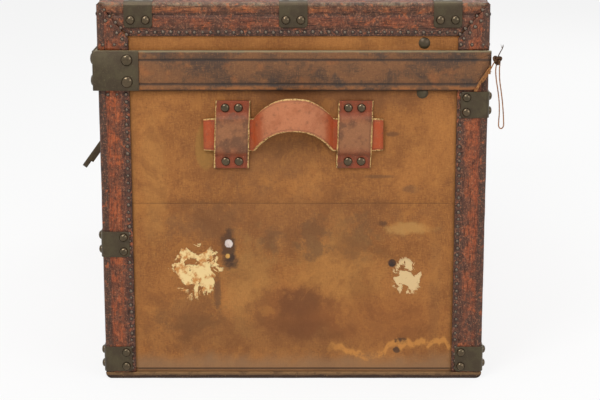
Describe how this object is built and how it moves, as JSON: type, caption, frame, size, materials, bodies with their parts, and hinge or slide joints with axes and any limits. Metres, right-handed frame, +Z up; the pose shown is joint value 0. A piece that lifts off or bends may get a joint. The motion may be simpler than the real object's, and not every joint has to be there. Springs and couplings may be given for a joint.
{
  "type": "steamer trunk",
  "caption": "Leather-bound canvas steamer trunk with metal clamps, banded hinged lid on folding stays, lift-out tray, front lock and clasps, and a leather handle on each end.",
  "frame": {"origin": "centre of the underside, on the ground", "axes": "+X along the trunk, -Y out of the front with the lock, +Y out of the hinge side, +Z up"},
  "size_m": [0.9598, 0.5737, 0.506],
  "materials": {
    "pine": "bare softwood boards, aged, satin",
    "canvas": "woven waterproofed canvas, faded and stained",
    "binding_leather": "red-brown bridle leather, cracked and scuffed",
    "handle_leather": "tan handle leather with raw pale edges",
    "band_cloth": "dark varnished cloth over a wooden band",
    "patinated_metal": "dark olive patina, satin, bright on rivet crowns",
    "brass": "tarnished brass, satin",
    "lining_paper": "yellowed lining paper, matte",
    "tape": "woven cotton tape",
    "twine": "twisted jute twine"
  },
  "bodies": {
    "trunk_body": {"base_board": "pine", "front_board": "pine", "rear_board": "pine", "left_end_board": "pine", "right_end_board": "pine", "front_canvas": "canvas", "rear_canvas": "canvas", "left_end_canvas": "canvas", "right_end_canvas": "canvas", "bottom_canvas": "canvas", "corner_bindings": "binding_leather", "bottom_binding": "binding_leather", "body_lining": "lining_paper", "body_clamps": "patinated_metal", "body_rivets": "patinated_metal", "tray_ledges": "pine", "hinge_body_leaves": "patinated_metal", "hinge_pins": "patinated_metal", "stay_body_studs": "patinated_metal", "handle_loops": "handle_leather", "handle_rivets": "patinated_metal", "lock_case": "patinated_metal", "lock_escutcheon": "brass", "clasp_plates": "patinated_metal"},
    "lid": {"lid_top_board": "pine", "lid_front_board": "pine", "lid_rear_board": "pine", "lid_end_boards": "pine", "lid_top_canvas": "canvas", "lid_front_canvas": "canvas", "lid_rear_canvas": "canvas", "lid_end_canvases": "canvas", "lid_edge_bindings": "binding_leather", "lid_corner_patches": "binding_leather", "lid_front_band": "band_cloth", "lid_end_bands": "band_cloth", "band_caps": "patinated_metal", "lid_clamps": "patinated_metal", "lid_rivets": "patinated_metal", "lid_lining": "lining_paper", "hinge_lid_leaves": "patinated_metal", "stay_lid_studs": "patinated_metal", "hasp_plate": "patinated_metal", "hasp_pin": "patinated_metal", "clasp_catches": "patinated_metal", "twine": "twine", "twine_knot": "twine"},
    "tray": {"tray_side_walls": "pine", "tray_end_walls": "pine", "tray_bottom": "pine", "tray_pulls": "tape"},
    "left_lower_link": {"left_stay_lower": "patinated_metal"},
    "left_upper_link": {"left_stay_upper": "patinated_metal"},
    "right_lower_link": {"right_stay_lower": "patinated_metal"},
    "right_upper_link": {"right_stay_upper": "patinated_metal"},
    "left_handle": {"left_handle_strap": "handle_leather"},
    "right_handle": {"right_handle_strap": "handle_leather"},
    "hasp": {"hasp": "patinated_metal"},
    "left_clasp": {"clasp_tongues_left": "patinated_metal"},
    "right_clasp": {"clasp_tongues_right": "patinated_metal"}
  },
  "joints": [
    {"name": "lid_hinge", "type": "hinge", "parent": "trunk_body", "child": "lid", "pos_m": [0, 0.2535, 0.408], "axis": [-1, 0, 0], "range_deg": [0, 100]},
    {"name": "left_lower_link_pivot", "type": "hinge", "parent": "trunk_body", "child": "left_lower_link", "pos_m": [-0.4323, 0.1655, 0.384], "axis": [-1, 0, 0], "range_deg": [0, 102.6]},
    {"name": "left_elbow", "type": "hinge", "parent": "left_lower_link", "child": "left_upper_link", "pos_m": [-0.4323, 0.08943, 0.44579], "axis": [1, 0, 0], "range_deg": [0, 133.2]},
    {"name": "right_lower_link_pivot", "type": "hinge", "parent": "trunk_body", "child": "right_lower_link", "pos_m": [0.4323, 0.1655, 0.384], "axis": [-1, 0, 0], "range_deg": [0, 102.6]},
    {"name": "right_elbow", "type": "hinge", "parent": "right_lower_link", "child": "right_upper_link", "pos_m": [0.4323, 0.08943, 0.44579], "axis": [1, 0, 0], "range_deg": [0, 133.2]},
    {"name": "tray_lift", "type": "slide", "parent": "trunk_body", "child": "tray", "axis": [0, 0, 1], "range_m": [0, 0.07]},
    {"name": "left_handle_slide", "type": "slide", "parent": "trunk_body", "child": "left_handle", "axis": [0, 1, 0], "range_m": [-0.004, 0.004]},
    {"name": "right_handle_slide", "type": "slide", "parent": "trunk_body", "child": "right_handle", "axis": [0, 1, 0], "range_m": [-0.004, 0.004]},
    {"name": "hasp_hinge", "type": "hinge", "parent": "lid", "child": "hasp", "pos_m": [0, -0.2602, 0.425], "axis": [-1, 0, 0], "range_deg": [0, 110]},
    {"name": "left_clasp_hinge", "type": "hinge", "parent": "trunk_body", "child": "left_clasp", "pos_m": [-0.22, -0.26, 0.297], "axis": [-1, 0, 0], "range_deg": [0, 130]},
    {"name": "right_clasp_hinge", "type": "hinge", "parent": "trunk_body", "child": "right_clasp", "pos_m": [0.22, -0.26, 0.297], "axis": [-1, 0, 0], "range_deg": [0, 130]}
  ],
  "couplings": [
    {"joint": "left_lower_link_pivot", "follows": "lid_hinge", "ratio": 1.0243},
    {"joint": "left_elbow", "follows": "lid_hinge", "ratio": 1.3296},
    {"joint": "right_lower_link_pivot", "follows": "lid_hinge", "ratio": 1.0243},
    {"joint": "right_elbow", "follows": "lid_hinge", "ratio": 1.3296}
  ]
}
